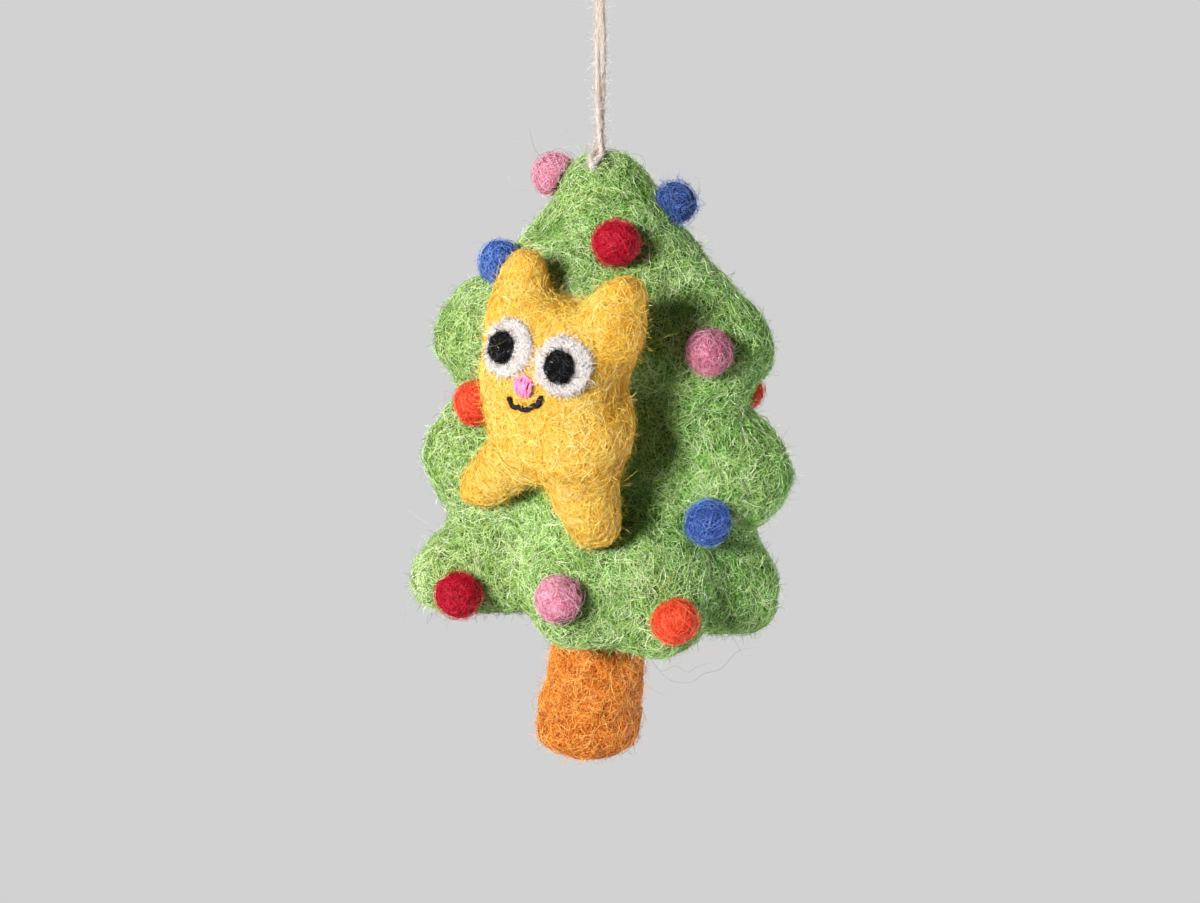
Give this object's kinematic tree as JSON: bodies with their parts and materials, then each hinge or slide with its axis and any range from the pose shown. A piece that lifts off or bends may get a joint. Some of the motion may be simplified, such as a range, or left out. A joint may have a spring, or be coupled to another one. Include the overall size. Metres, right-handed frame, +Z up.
{
  "type": "felt christmas tree hanging ornament",
  "caption": "Needle-felted wool christmas tree with soft lobed tiers, a trunk, felt ball baubles and a small felt cat hugging its front, hung on a doubled cord.",
  "frame": {"origin": "inside top of the hanging cord's eye, where the hook or twig carries the ornament", "axes": "+Z up along the taut cord, -Y the side with the cat's face, +X the viewer's right when facing the cat"},
  "size_m": [0.0811, 0.0716, 0.1948],
  "materials": {
    "cord": "soft twisted cotton cord",
    "green_felt": "needle-felted wool, fuzzy",
    "trunk_felt": "needle-felted wool, fuzzy",
    "yellow_felt": "needle-felted wool, fuzzy",
    "white_felt": "needle-felted wool, flat patch",
    "black_felt": "needle-felted wool, flat patch",
    "nose_thread": "satin-stitched thread",
    "pink_felt": "felted wool ball",
    "crimson_felt": "felted wool ball",
    "orange_felt": "felted wool ball",
    "blue_felt": "felted wool ball"
  },
  "bodies": {
    "loop": {"hanging_eye": "cord"},
    "strands": {"cord_strand_left": "cord", "cord_strand_right": "cord"},
    "knot": {"cord_knot": "cord"},
    "ornament": {"apex_stitch": "cord", "anchor_cord": "cord", "anchor_knot": "cord", "tree_top_tier": "green_felt", "tree_middle_tier": "green_felt", "tree_bottom_tier": "green_felt", "trunk": "trunk_felt", "pink_bauble_by_the_apex": "pink_felt", "blue_bauble_by_the_apex": "blue_felt", "crimson_bauble_above_the_cat": "crimson_felt", "blue_bauble_behind_the_ear": "blue_felt", "pink_bauble_on_the_right": "pink_felt", "orange_bauble_in_the_left_notch": "orange_felt", "orange_bauble_in_the_right_notch": "orange_felt", "blue_bauble_on_the_right": "blue_felt", "crimson_bauble_low_left": "crimson_felt", "pink_bauble_low_front": "pink_felt", "orange_bauble_low_right": "orange_felt", "crimson_bauble_behind_left": "crimson_felt", "orange_bauble_behind_right": "orange_felt", "cat_body": "yellow_felt", "cat_left_ear": "yellow_felt", "cat_right_ear": "yellow_felt", "cat_left_leg": "yellow_felt", "cat_right_leg": "yellow_felt", "cat_left_eye_white": "white_felt", "cat_right_eye_white": "white_felt", "cat_left_pupil": "black_felt", "cat_right_pupil": "black_felt", "cat_nose": "nose_thread", "cat_mouth": "black_felt"}
  },
  "joints": [
    {"name": "cord_twist", "type": "hinge", "parent": "loop", "child": "strands", "pos_m": [0, 0, -0.0123], "axis": [0, 0, 1], "range_deg": [-180, 180]},
    {"name": "fore_and_aft_rock", "type": "hinge", "parent": "strands", "child": "knot", "pos_m": [0, 0, -0.0638], "axis": [1, 0, 0], "range_deg": [-35, 35]},
    {"name": "side_to_side_swing", "type": "hinge", "parent": "knot", "child": "ornament", "pos_m": [0, 0, -0.0638], "axis": [0, 1, 0], "range_deg": [-35, 35]}
  ]
}
